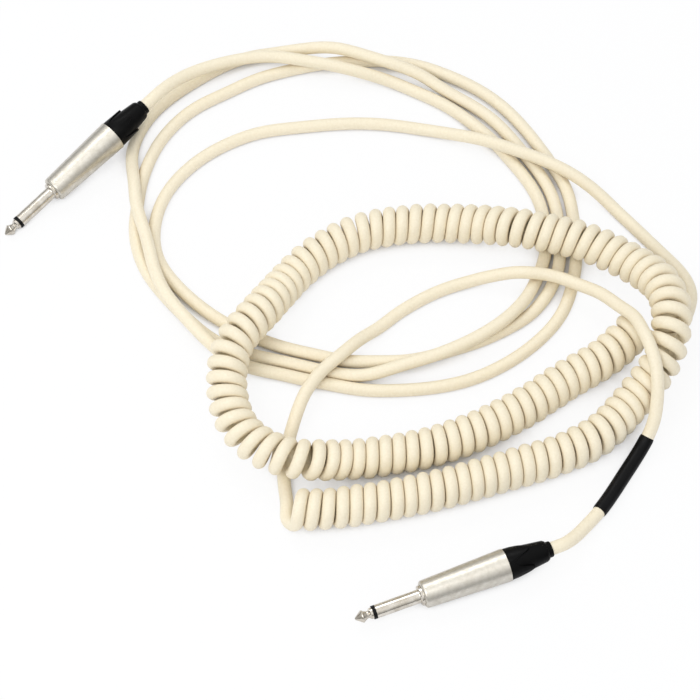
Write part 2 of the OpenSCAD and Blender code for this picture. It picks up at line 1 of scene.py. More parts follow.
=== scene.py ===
"""The looks of an instrument cable: two jack plugs, a long looped lead, a curly section and a short lead."""

from __future__ import annotations

import logging
import math
from dataclasses import dataclass, field
from enum import Enum
from functools import cache
from typing import ClassVar

import bpy
import numpy as np
from mathutils import Matrix, Vector


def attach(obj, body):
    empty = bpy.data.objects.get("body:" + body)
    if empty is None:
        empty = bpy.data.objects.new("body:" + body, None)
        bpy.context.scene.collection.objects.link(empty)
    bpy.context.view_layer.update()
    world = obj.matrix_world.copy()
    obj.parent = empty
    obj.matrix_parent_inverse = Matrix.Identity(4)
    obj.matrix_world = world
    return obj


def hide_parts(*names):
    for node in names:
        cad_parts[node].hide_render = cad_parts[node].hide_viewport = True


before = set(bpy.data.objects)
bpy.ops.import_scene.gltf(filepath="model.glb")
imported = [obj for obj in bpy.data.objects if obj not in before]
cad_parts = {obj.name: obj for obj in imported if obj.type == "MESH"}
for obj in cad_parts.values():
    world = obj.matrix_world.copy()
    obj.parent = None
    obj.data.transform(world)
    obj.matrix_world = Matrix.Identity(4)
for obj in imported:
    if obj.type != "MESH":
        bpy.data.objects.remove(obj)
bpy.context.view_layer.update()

MM = 0.001
UP = np.array([0.0, 0.0, 1.0])
MAIN_BODY = "cord_and_contacts"
WHITE = (1.0, 1.0, 1.0, 1.0)
LOG = logging.getLogger("instrument_cable")

Point = tuple[float, float, float]
Span = tuple[float, float]
Rings = list[Span]
Rows = np.ndarray


class End(Enum):
    """The cable's two ends."""

    A = "a"
    B = "b"


class Slot(Enum):
    """The record's material slots."""

    BRIGHT_NICKEL = "polished_nickel"
    SATIN_NICKEL = "satin_nickel"
    BLACK_PLASTIC = "black_plastic"
    BOOT = "boot_rubber"
    WHITE_PLASTIC = "white_plastic"
    COPPER = "copper"
    JACKET = "jacket"
    SHRINK_TUBE = "shrink_tube"


def unit(v: Rows) -> Rows:
    """Scale a vector to length one."""
    return v / np.linalg.norm(v)


def units(rows: Rows) -> Rows:
    """Scale each row to length one."""
    return np.apply_along_axis(unit, 1, rows)


def pick(obj: bpy.types.Object) -> None:
    """Select one object alone and make it the active one.

    Args:
        obj: The object.
    """
    bpy.ops.object.select_all(action="DESELECT")
    obj.select_set(True)
    bpy.context.view_layer.objects.active = obj


# ---------------------------------------------------------------- routes and sizes


@dataclass(frozen=True)
class PlugPlace:
    """Where one plug lies: its tip, its heading and its tilt, in millimetres and degrees."""

    tip: tuple[float, float]
    rise: float
    heading: float
    tilt: float
    roll: float

    @property
    def aim(self) -> Rows:
        """The direction from the tip to the cord."""
        h, t = math.radians(self.heading), math.radians(self.tilt)
        return np.array([math.cos(t) * math.cos(h), math.cos(t) * math.sin(h), math.sin(t)])

    def at(self, s: float, middle: Rows) -> Rows:
        """Give the point on the plug's axis at a distance from its tip.

        Args:
            s: Distance from the tip in millimetres.
            middle: The layout's point that is the part's origin.

        Returns:
            The point in the part's millimetres.
        """
        return np.array([*self.tip, self.rise]) - middle + s * self.aim

    def matrix(self, middle: Rows) -> Matrix:
        """Give the transform from the plug's own metres, with its cord along +X, to its place.

        Args:
            middle: The layout's point that is the part's origin.

        Returns:
            The transform.
        """
        turn = (
            Matrix.Rotation(math.radians(self.heading), 4, "Z")
            @ Matrix.Rotation(-math.radians(self.tilt), 4, "Y")
            @ Matrix.Rotation(math.radians(self.roll), 4, "X")
        )
        return Matrix.Translation(Vector(self.at(0, middle) * MM)) @ turn


@dataclass(frozen=True)
class Sizes:
    """The cable's sizes in millimetres, the same as its solids have."""

    cord_d: float = 6.2
    curl_od: float = 19.6
    sleeve_wall: float = 0.4
    tip_len: float = 8.4
    tip_head_d: float = 5.8
    tip_head_share: float = 0.42
    tip_point_r: float = 0.7
    shell_at: float = 32.5
    shell_end: float = 73.5
    shell_front_d: float = 12.9
    shell_rear_d: float = 15.6
    jacket_at: float = 57.33
    chuck_end: float = 72.33
    boot_end: float = 95.5
    boot_tail_d: float = 10.0
    boot_tail_edge: float = 1.0
    straight_run: float = 5.0

    @property
    def shell_tilt(self) -> float:
        """The slope of the shell's side, in degrees."""
        widening = (self.shell_rear_d - self.shell_front_d) / 2
        return math.degrees(math.atan(widening / (self.shell_end - self.shell_at)))

    @property
    def tip_head_at(self) -> float:
        """The distance from the tip to its widest place."""
        return self.tip_len * self.tip_head_share


@dataclass(frozen=True)
class Layout:
    """How the cable lies on the floor: both plugs and the routes of the cords, in the layout's millimetres.

    A route point is x, y and lift, where lift is the free height under the cord or the curls.
    """

    sizes: Sizes = field(default_factory=Sizes)
    tilt_a: float = 9

    LONG_LEAD: ClassVar[tuple[Point, ...]] = (
        (-54, 142.9, 14.5), (-49, 148.5, 13), (-44, 153.2, 11.5), (-38, 157.4, 10.3), (-28, 162.5, 8.8),
        (-14, 167.2, 7.5), (0, 169, 7), (16, 166.5, 7), (30, 164, 6.5), (44, 161, 5), (60, 158, 1),
        (75, 151, 0), (89, 143, 0), (103, 131, 0), (113, 120, 0), (120, 110, 0), (128, 98, 0), (134, 84, 0),
        (136, 70, 0), (136, 56, 0), (132, 43, 0), (125, 27, 4), (114, 13, 7), (100, 3, 7), (82, -6, 7),
        (64, -11, 5), (46, -15, 2), (26, -11, 0), (11, -7, 0), (-5, -3, 0), (-17, 1, 0), (-26, 6, 0),
        (-37, 16, 0), (-46, 26, 0), (-54, 36, 0), (-60, 46, 0), (-64, 57, 0), (-66, 70, 0), (-65, 83, 0),
        (-64, 95, 0), (-61, 107, 0), (-56, 120, 0), (-48, 132, 0), (-38, 142, 0), (-23, 151, 0),
        (-7, 160, 0), (8, 165, 0), (24, 169, 0), (41, 171, 0), (60, 171, 0), (76, 168, 0), (90, 162, 0),
        (104, 154, 0), (117, 143, 0), (128, 129, 0), (136, 116, 0), (143, 103, 0), (148, 91, 0),
        (150, 76, 0), (151, 62, 0), (150, 47, 0), (147, 33, 0), (142, 20, 0), (132, 7, 0), (118, -5, 0),
        (100, -15, 0), (82, -20, 0), (64, -21.8, 0), (46, -21.7, 0), (32, -18.9, 0), (18, -15.95, 0),
        (5, -13, 1), (-8, -11, 3), (-17, -7, 4), (-26, 0, 6), (-37, 12, 7), (-47, 25, 7), (-54, 39, 7),
        (-60, 62, 7), (-65, 78, 7), (-67, 95, 6), (-69, 108, 2), (-68, 121, 0), (-63, 133, 0),
        (-58, 141, 0), (-47, 152, 0), (-38, 159, 0), (-28, 166, 0), (-14, 173, 0), (0, 176, 0),
        (18, 177, 3), (32, 175, 6.5), (44, 171, 7), (60, 165, 7), (75, 160, 4.5), (89, 151, 1.5),
        (105, 141, 0), (116, 130, 0), (125, 117, 0), (133, 104, 0), (139, 92, 0), (142, 79, 0),
        (143, 62, 0), (142, 48, 0), (138, 36, 0), (129, 22, 0), (117, 13, 0), (102, 5, 0), (88, 0, 0),
        (76, -4, 0), (64, -6, 0), (50, -6, 0), (38, -6, 0), (26, -3, 0), (10, 1, 0), (-3, 6, 0),
        (-13, 11, 0), (-23, 17, 0), (-33, 25, 0), (-42, 34, 0), (-49, 43, 0), (-54, 52, 0), (-56, 62, 0),
        (-56, 72, 0), (-54, 82, 0), (-50, 92, 0), (-43, 102, 0), (-33, 112, 0), (-19, 121, 0), (-4, 127, 0),
        (16, 130, 0), (35, 132, 0), (53, 132, 0), (74, 129, 0), (93, 124, 2), (107, 118, 6), (118, 113, 7),
        (130, 108, 7), (142, 102, 7), (152, 96, 6), (162, 89, 3), (173, 78, 0), (184, 65, 0), (193, 54, 0),
        (201, 44, 0), (204.8, 36, 0), (205.4, 29.5, 0), (204, 23.5, 0), (201.4, 18.5, 0), (199.6, 14.5, 0),
        (197.4, 10.2, 0), (194.6, 6.4, 0), (191.2, 4.1, 0), (187.2, 3.5, 0),
    )
    SHORT_LEAD: ClassVar[tuple[Point, ...]] = (
        (9.9, -75, 0), (9.2, -67, 0), (9.4, -58, 0), (11.8, -47, 1), (15, -37, 5), (19, -27, 7),
        (26, -16, 7), (36, -6, 7), (45, 4, 4), (54, 12, 1), (65, 22, 0), (83, 33, 0), (101, 39, 1),
        (112, 40, 4), (122, 39, 8), (138, 37, 8), (151, 31, 9), (160, 24, 13), (169, 13, 18),
        (174, 6.2, 21.8), (177.2, -3.8, 25.8), (180.2, -13.8, 27.4), (182.4, -23, 25.2),
        (183.2, -30.4, 20.8), (183, -36.6, 15.4), (182, -43, 10), (179, -49, 4), (174, -57, 1),
        (167, -68, 0.6), (160, -79, 0.6), (155, -86, 0.8), (152, -90, 1.3), (148, -94.5, 2.1),
        (144, -99.3, 3.3),
    )
    CURLY: ClassVar[tuple[Point, ...]] = (
        (178, 10, 0), (171, 2, 0), (163, -6, 0), (155, -12, 0), (145, -18, 0), (134, -26, 0), (123, -34, 0),
        (111, -41, 0), (100, -47, 0), (88, -52, 0), (77, -56, 0), (63, -59, 0), (52, -61, 0), (39, -63, 1),
        (26, -65, 5), (17, -66, 7), (9, -64, 7), (1.5, -61, 7), (-5.2, -56.4, 7), (-10.8, -50.4, 7),
        (-14.6, -42.8, 7.5), (-17, -34.3, 8), (-17.6, -25, 10), (-17, -16, 11), (-15, -7, 11.5),
        (-10, 1, 11.5), (-4, 10, 10), (2, 19.8, 7), (9.4, 32.6, 2), (18, 44.2, 0), (30.2, 54.3, 0),
        (45, 62.5, 0), (60, 66, 0), (79, 68, 0), (104, 66, 2), (115, 63, 5), (127, 60, 7), (139, 57, 7),
        (151, 54, 7), (161, 50, 6), (170, 45, 6), (178, 39, 7), (183.4, 33.5, 9), (188.4, 26.4, 11.6),
        (191.2, 17.6, 14), (192, 8.6, 14.8), (191.4, -0.4, 14), (189.6, -8, 11.4), (187, -13.8, 8.2),
        (184, -18, 5.4), (180.6, -22, 3), (176.8, -26.6, 1.2), (172.8, -31.4, 0.2), (168.9, -35.9, 0),
        (163, -42.8, 0), (156.2, -49.6, 0), (147.4, -54.8, 0), (137, -60, 0), (122, -65, 0), (107, -70, 0),
        (94, -74, 0), (81, -78, 0), (68, -81, 0), (55, -84, 0), (42, -86, 0), (29, -88, 0), (10.8, -88, 0),
    )
    SLEEVE_SPAN: ClassVar[tuple[Point, ...]] = ((179, -49, 4), (155, -86, 0.8))

    def plug(self, end: End) -> PlugPlace:
        """Give the place of one of the plugs.

        Args:
            end: The plug's end of the cable.

        Returns:
            The place: plug A stands on its tip and leans on the cord, plug B lies on its shell.
        """
        s = self.sizes
        if end is End.A:
            tilt = math.radians(self.tilt_a)
            rise = s.tip_head_d / 2 * math.cos(tilt) - s.tip_head_at * math.sin(tilt)
            return PlugPlace(tip=(-129.6, 66.2), rise=rise, heading=45, tilt=self.tilt_a, roll=0)
        tilt = math.radians(s.shell_tilt)
        rise = s.shell_front_d / 2 * math.cos(tilt) - s.shell_at * math.sin(tilt)
        return PlugPlace(tip=(42.2, -140.8), rise=rise, heading=20.5, tilt=s.shell_tilt, roll=28)

    @property
    def middle(self) -> Rows:
        """The middle of the two plugs' outline, which is the part's origin."""
        s = self.sizes
        a, b = self.plug(End.A), self.plug(End.B)
        tail_r = s.boot_tail_d / 2 - s.boot_tail_edge
        across_a, across_b = np.sqrt(1 - a.aim**2), np.sqrt(1 - b.aim**2)
        left = a.tip[0] - s.tip_point_r * across_a[0]
        right = b.tip[0] + s.boot_end * b.aim[0] + tail_r * across_b[0]
        front = b.tip[1] + s.tip_head_at * b.aim[1] - s.tip_head_d / 2 * across_b[1]
        back = a.tip[1] + s.boot_end * a.aim[1] + tail_r * across_a[1]
        return np.array([(left + right) / 2, (front + back) / 2, 0.0])

    def laid(self, points: tuple[Point, ...], radius: float) -> Rows:
        """Give route points as places of the cord's middle line, in the part's millimetres."""
        return np.array(points, dtype=float) - self.middle + UP * radius


class Line:
    """A smooth line in space, sampled at even steps, in millimetres."""

    # The points of each bend, and how many times its reach the evening looks to each side.
    BEND_STEPS = 8
    WINDOW = 3

    def __init__(self, points: Rows) -> None:
        """Keep the points, one in each row."""
        self.points = points

    @classmethod
    def through(cls, points: Rows, first: Rows, last: Rows, step: float, ease: float) -> Line:
        """Lay a smooth line through route points.

        Args:
            points: The route points.
            first: Direction in which the line leaves the first point.
            last: Direction in which it reaches the last point.
            step: Distance between the line's own points.
            ease: Length over which small unevenness is evened out.

        Returns:
            The line.
        """
        n = len(points)
        dirs = [first] + [unit(points[i + 1] - points[i - 1]) for i in range(1, n - 1)] + [last]
        out = [points[:1]]
        for i in range(n - 1):
            reach = np.linalg.norm(points[i + 1] - points[i])
            pulls = reach * dirs[i], reach * dirs[i + 1]
            out.append(cls.bend(points[i], points[i + 1], *pulls, cls.BEND_STEPS))
        return cls(np.concatenate(out)).even(step).eased(ease, step, first, last)

    @staticmethod
    def bend(start: Rows, end: Rows, pull_start: Rows, pull_end: Rows, steps: int) -> Rows:
        """Give the points of one smooth bend, without its first point.

        Args:
            start: The bend's first point.
            end: Its last point.
            pull_start: How strongly and which way it leaves the first point.
            pull_end: How strongly and which way it reaches the last point.
            steps: The number of points.

        Returns:
            The points.
        """
        t = np.linspace(0, 1, steps + 1)[1:, None]
        t2, t3 = t * t, t**3
        return (
            (2 * t3 - 3 * t2 + 1) * start
            + (t3 - 2 * t2 + t) * pull_start
            + (3 * t2 - 2 * t3) * end
            + (t3 - t2) * pull_end
        )

    @property
    def travelled(self) -> Rows:
        """The distance along the line at each point."""
        return np.concatenate([[0], np.cumsum(np.linalg.norm(np.diff(self.points, axis=0), axis=1))])

    @property
    def length(self) -> float:
        """The line's whole length."""
        return float(self.travelled[-1])

    def at(self, s: Rows) -> Rows:
        """Give the points at distances along the line."""
        t = self.travelled
        return np.stack([np.interp(s, t, self.points[:, k]) for k in range(3)], axis=1)

    def even(self, step: float) -> Line:
        """Give the same line with points at even steps."""
        return Line(self.at(np.linspace(0, self.length, max(2, round(self.length / step) + 1))))

    def eased(self, reach: float, step: float, first: Rows, last: Rows) -> Line:
        """Even out small unevenness, with both ends kept.

        Args:
            reach: The length over which points are averaged.
            step: The distance between points.
            first: Direction of the first point.
            last: Direction of the last point.

        Returns:
            The eased line.
        """
        k = int(self.WINDOW * reach / step)
        weights = np.exp(-0.5 * (np.arange(-k, k + 1) * step / reach) ** 2)
        weights /= weights.sum()
        level = np.zeros(3)
        once = self._averaged(self.points, weights, step, first, last)
        twice = once + self._averaged(self.points - once, weights, step, level, level)
        fade = np.minimum(1, np.minimum(self.travelled, self.length - self.travelled) / (2 * reach))
        return Line(self.points + (twice - self.points) * fade[:, None])

    @staticmethod
    def _averaged(rows: Rows, weights: Rows, step: float, first: Rows, last: Rows) -> Rows:
        """Average each row with its neighbours, as if the rows went straight on past both ends.

        Args:
            rows: The rows.
            weights: The neighbours' weights, an odd number of them.
            step: How far the rows go on at each step past an end.
            first: The direction there at the first row.
            last: The direction there at the last row.

        Returns:
            The averaged rows.
        """
        k = len(weights) // 2
        before = rows[0] - first * (np.arange(k, 0, -1) * step)[:, None]
        after = rows[-1] + last * (np.arange(1, k + 1) * step)[:, None]
        padded = np.concatenate([before, rows, after])
        return np.stack([np.convolve(padded[:, j], weights, "valid") for j in range(3)], axis=1)

    def lifted(self, lowest: float) -> Line:
        """Lift the points that lie too low.

        Args:
            lowest: The least height that a point may have.

        Returns:
            The lifted line.
        """
        points = self.points.copy()
        points[:, 2] = np.maximum(points[:, 2], lowest)
        return Line(points)

    def directions(self) -> Rows:
        """Give the unit direction of the line at each point."""
        return units(np.gradient(self.points, axis=0))


@dataclass
class Tube:
    """A cord's round jacket, swept along a line, with sizes in millimetres."""

    name: str
    line: Line
    radius: float
    sides: int = 20
    outward: Rows | None = None
    narrow_start: float = 0.0
    narrow_end: float = 0.0
    capped: bool = True
    rim: float = 0.05

    def build(self) -> bpy.types.Object:
        """Make the tube's mesh.

        Returns:
            The tube's object, with a UV map of distance along and round the cord in metres.
        """
        points, rings = self._rings()
        n, m = len(points), self.sides
        faces = [
            (i * m + k, i * m + (k + 1) % m, (i + 1) * m + (k + 1) % m, (i + 1) * m + k)
            for i in range(n - 1)
            for k in range(m)
        ]
        if self.capped:
            faces += [tuple(range(m - 1, -1, -1)), tuple(range((n - 1) * m, n * m))]
        mesh = bpy.data.meshes.new(self.name)
        mesh.from_pydata((rings.reshape(-1, 3) * MM).tolist(), [], faces)
        mesh.uv_layers.new(name="run").data.foreach_set("uv", self._unrolled(Line(points).travelled * MM))
        mesh.polygons.foreach_set("use_smooth", [len(face) == 4 for face in faces])
        mesh.validate()
        obj = bpy.data.objects.new(self.name, mesh)
        bpy.context.scene.collection.objects.link(obj)
        return obj

    def _rings(self) -> tuple[Rows, Rows]:
        """Lay the rings along the line, with one more of them close to each end.

        Returns:
            The rings' middles, and the points of each ring.
        """
        points, dirs = self.line.points, self.line.directions()
        sides = self._side_vectors(dirs)
        near_start, near_end = points[:1] + self.rim * dirs[:1], points[-1:] - self.rim * dirs[-1:]
        points = np.concatenate([points[:1], near_start, points[1:-1], near_end, points[-1:]])
        dirs, sides = (np.concatenate([rows[:1], rows, rows[-1:]]) for rows in (dirs, sides))
        angles = np.arange(self.sides) * 2 * math.pi / self.sides
        other = np.cross(dirs, sides)
        radii = np.full((len(points), 1, 1), self.radius)
        radii[:2] -= self.narrow_start
        radii[-2:] -= self.narrow_end
        rings = (
            points[:, None, :]
            + radii * np.cos(angles)[None, :, None] * sides[:, None, :]
            + radii * np.sin(angles)[None, :, None] * other[:, None, :]
        )
        return points, rings

    def _unrolled(self, along: Rows) -> Rows:
        """Unroll the jacket flat.

        Args:
            along: The distance along the tube at each ring, in metres.

        Returns:
            The UV map's values, face by face.
        """
        m = self.sides
        girth = 2 * math.pi * self.radius * MM / m
        uv = []
        for here, there in zip(along[:-1], along[1:]):
            for k in range(m):
                low, high = k * girth, (k + 1) * girth
                uv += [(here, low), (here, high), (there, high), (there, low)]
        if self.capped:
            uv += [(0.0, 0.0)] * m + [(along[-1], 0.0)] * m
        return np.array(uv, dtype=np.float32).ravel()

    def _side_vectors(self, dirs: Rows) -> Rows:
        """Give a vector across the line at each point.

        Args:
            dirs: The line's directions.

        Returns:
            The vectors, towards `outward` where that is given, and otherwise without twist along the line.
        """
        if self.outward is not None:
            return units(self.outward - dirs * np.sum(self.outward * dirs, axis=1)[:, None])
        out = [unit(np.cross(UP, dirs[0]))]
        for d in dirs[1:]:
            out.append(unit(out[-1] - d * np.dot(out[-1], d)))
        return np.array(out)


@dataclass
class Curls:
    """The curly section: a left-hand helix round a middle line that lies in wide bends."""

    layout: Layout
    pitch: float = 6.2
    rings: int = 20
    ease: float = 7.0
    look_ahead: float = 3.0
    start_spread: float = 2.4
    start_reach: float = 7.4
    end_reach: float = 5.0
    end_turn: float = 0.75
    end_pull: float = 12.0
    end_steps: int = 14
    slip: float = 0.85
    most_slip: float = 0.6
    smoothing: int = 4
    unevenness: float = 0.1
    seed: int = 11
    count: int = field(init=False)
    line: Line = field(init=False)
    outward: Rows = field(init=False)

    # The points of the straight run at each end in cord thicknesses, and where a neighbour lies in turns.
    RUN: ClassVar[tuple[float, ...]] = (0.33, 0.66, 1)
    NEIGHBOUR: ClassVar[Span] = (0.7, 1.3)

    def __post_init__(self) -> None:
        """Lay the middle line, wind the helix round it and turn both ends out along the floor."""
        s = self.layout.sizes
        self.radius = (s.curl_od - s.cord_d) / 2
        route = self.layout.laid(self.layout.CURLY, s.curl_od / 2)
        first, last = unit(route[1] - route[0]), unit(route[-1] - route[-2])
        axis = Line.through(route, first, last, step=1.0, ease=self.ease).lifted(s.curl_od / 2)
        points, out = self._helix(axis)
        floor_end = axis.points[-1] - self.radius * UP
        self.start_run = unit((points[1] - points[0]) * (1, 1, 0))
        self.end_run = unit(np.cross(last, UP))
        self.start = points[0] - s.cord_d * self.start_run
        self.end = floor_end + s.cord_d * self.end_run
        lead_in = [points[0] - s.cord_d * self.start_run * t for t in reversed(self.RUN)]
        lead_out = [floor_end + s.cord_d * self.end_run * t for t in self.RUN]
        pull = self.end_pull * unit(points[-1] - points[-2])
        turned_out = Line.bend(points[-1], floor_end, pull, self.end_pull * self.end_run, self.end_steps)
        self.line = Line(np.concatenate([lead_in, points, turned_out, lead_out])).lifted(s.cord_d / 2)
        share = np.linspace(0, 1, self.end_steps + 1)[1:, None]
        turned = (1 - share) * out[-1] - share * UP
        self.outward = np.concatenate([[out[0]] * len(self.RUN), out, turned, [-UP] * len(self.RUN)])

    def _helix(self, axis: Line) -> tuple[Rows, Rows]:
        """Wind the helix round the middle line.

        Args:
            axis: The middle line.

        Returns:
            The helix's points, and the direction outwards at each of them.
        """
        phase = self._phase(axis)
        whole = self.count + self.end_turn
        turns = np.linspace(0, 1, round(whole * self.rings) + 1)
        place = np.interp(turns, phase, axis.travelled[: len(phase)])
        before = np.maximum(place - self.look_ahead, 0)
        after = np.minimum(place + self.look_ahead, axis.length)
        ahead = units(axis.at(after) - axis.at(before))
        angle = -math.pi / 2 - 2 * math.pi * whole * turns
        side = units(np.cross(UP, ahead))
        out = np.cos(angle)[:, None] * side + np.sin(angle)[:, None] * np.cross(ahead, side)
        return axis.at(place) + (self.radius + self._wobble(turns))[:, None] * out, out

    def _phase(self, axis: Line) -> Rows:
        """Count the curls, which stand wider apart in a bend and at the start.

        Args:
            axis: The middle line.

        Returns:
            How far the helix has turned at each point of the middle line, from 0 to 1.
        """
        window = 2 * self.smoothing + 1
        bend = np.linalg.norm(np.gradient(axis.directions(), axis=0), axis=1) / np.gradient(axis.travelled)
        bend = np.convolve(np.pad(bend, self.smoothing, mode="edge"), np.ones(window) / window, "valid")
        spread = 1 / (1 - np.minimum(self.most_slip, self.slip * self.radius * bend))
        spread[axis.travelled < self.start_reach] *= self.start_spread
        steps = np.diff(axis.travelled) * 2 / (spread[1:] + spread[:-1])
        phase = np.concatenate([[0], np.cumsum(steps)])[axis.travelled <= axis.length - self.end_reach]
        self.count = int(phase[-1] / self.pitch)
        return phase / phase[-1]

    def _wobble(self, turns: Rows) -> Rows:
        """Give the curls a slightly uneven radius, with none of it at the ends.

        Args:
            turns: How far the helix has turned at each point, from 0 to 1.

        Returns:
            What each point's radius is larger than it would be, in millimetres.
        """
        rng = np.random.default_rng(self.seed)
        per_curl = rng.normal(0, self.unevenness, self.count + 1)
        per_curl[[0, -1]] = 0
        return np.interp(turns, np.linspace(0, 1, self.count + 1), per_curl)

    def least_gap(self) -> float:
        """Give the least gap between neighbouring curls.

        Returns:
            The gap in millimetres, less than zero where curls press into each other.
        """
        points = self.line.points
        nearest, farthest = (int(self.rings * share) for share in self.NEIGHBOUR)
        gaps = (np.linalg.norm(points[k:] - points[:-k], axis=1).min() for k in range(nearest, farthest + 1))
        return float(min(gaps)) - self.layout.sizes.cord_d


# ---------------------------------------------------------------- finishes


class NodeTools:
    """Short ways to place and join shader nodes in one tree."""

    def __init__(self, tree: bpy.types.NodeTree) -> None:
        """Keep the tree."""
        self.tree = tree

    @classmethod
    def emptied(cls, owner: bpy.types.Material | bpy.types.World) -> NodeTools:
        """Start on the empty tree of a material or a world.

        Args:
            owner: The material or world.

        Returns:
            The tools for its tree.
        """
        owner.use_nodes = True
        owner.node_tree.nodes.clear()
        return cls(owner.node_tree)

    def add(
        self,
        kind: str,
        x: float = 0,
        y: float = 0,
        inputs: dict[str, object] | None = None,
        **settings: object,
    ) -> bpy.types.Node:
        """Place a node.

        Args:
            kind: The node's type name.
            x: Its place across the tree.
            y: Its place up the tree.
            inputs: Values of its input sockets.
            **settings: Properties of the node to set.

        Returns:
            The node.
        """
        node = self.tree.nodes.new(kind)
        node.location = (x, y)
        for key, value in settings.items():
            setattr(node, key, value)
        for key, value in (inputs or {}).items():
            node.inputs[key].default_value = value
        return node

    def remap(self, x: float, y: float, source: Span, target: Span) -> bpy.types.Node:
        """Place a node that maps one span of values onto another.

        Args:
            x: Its place across the tree.
            y: Its place up the tree.
            source: The values that come in.
            target: The values that go out.

        Returns:
            The node.
        """
        names = ("From Min", "From Max", "To Min", "To Max")
        return self.add("ShaderNodeMapRange", x, y, dict(zip(names, (*source, *target))))

    def join(
        self, source: bpy.types.Node, output: str | int, target: bpy.types.Node, inlet: str | int
    ) -> None:
        """Link one node's output to another node's input."""
        self.tree.links.new(source.outputs[output], target.inputs[inlet])


class SharedEffects:
    """The node groups that several finishes use, each built once."""

    VECTOR = "NodeSocketVector"
    NUMBER = "NodeSocketFloat"
    COLOUR = "NodeSocketColor"

    @staticmethod
    def _started(
        name: str, inputs: dict[str, tuple[str, object]], outputs: dict[str, str]
    ) -> tuple[NodeTools, bpy.types.Node, bpy.types.Node]:
        """Start a group with its named sockets.

        Args:
            name: The group's name.
            inputs: The kind and first value of each input.
            outputs: The kind of each output.

        Returns:
            The tools for the group's tree, its input node and its output node.
        """
        group = bpy.data.node_groups.new(name, "ShaderNodeTree")
        for label, (kind, value) in inputs.items():
            socket = group.interface.new_socket(label, in_out="INPUT", socket_type=kind)
            if value is not None:
                socket.default_value = value
        for label, kind in outputs.items():
            group.interface.new_socket(label, in_out="OUTPUT", socket_type=kind)
        t = NodeTools(group)
        return t, t.add("NodeGroupInput", -600), t.add("NodeGroupOutput", 500)

    @classmethod
    @cache
    def cloudiness(cls) -> bpy.types.NodeTree:
        """Build the group that mixes two colours in soft clouds.

        Returns:
            The group, which puts out the colour and its mask.
        """
        inputs = {
            "Vector": (cls.VECTOR, None),
            "Scale": (cls.NUMBER, 30.0),
            "Light Colour": (cls.COLOUR, None),
            "Dark Colour": (cls.COLOUR, None),
            "Low": (cls.NUMBER, 0.35),
            "High": (cls.NUMBER, 0.65),
        }
        t, inlet, outlet = cls._started("cloudiness", inputs, {"Colour": cls.COLOUR, "Mask": cls.NUMBER})
        noise = t.add("ShaderNodeTexNoise", -300, 0, {"Detail": 4.0, "Roughness": 0.6})
        span = t.add("ShaderNodeMapRange", -80)
        mix = t.add("ShaderNodeMix", 200, data_type="RGBA")
        t.join(inlet, "Vector", noise, "Vector")
        t.join(inlet, "Scale", noise, "Scale")
        t.join(noise, "Fac", span, "Value")
        t.join(inlet, "Low", span, "From Min")
        t.join(inlet, "High", span, "From Max")
        t.join(span, "Result", mix, "Factor")
        t.join(inlet, "Light Colour", mix, "A")
        t.join(inlet, "Dark Colour", mix, "B")
        t.join(mix, "Result", outlet, "Colour")
        t.join(span, "Result", outlet, "Mask")
        return t.tree

    @classmethod
    @cache
    def grain(cls) -> bpy.types.NodeTree:
        """Build the group of a fine grain, which can be stretched along one direction.

        Returns:
            The group, which puts out the grain's height.
        """
        inputs = {
            "Vector": (cls.VECTOR, None),
            "Stretch": (cls.VECTOR, (1.0, 1.0, 1.0)),
            "Scale": (cls.NUMBER, 800.0),
        }
        t, inlet, outlet = cls._started("grain", inputs, {"Height": cls.NUMBER})
        product = t.add("ShaderNodeVectorMath", -400, operation="MULTIPLY")
        noise = t.add("ShaderNodeTexNoise", -150, 0, {"Detail": 3.0, "Roughness": 0.55})
        t.join(inlet, "Vector", product, 0)
        t.join(inlet, "Stretch", product, 1)
        t.join(product, "Vector", noise, "Vector")
        t.join(inlet, "Scale", noise, "Scale")
        t.join(noise, "Fac", outlet, "Height")
        return t.tree


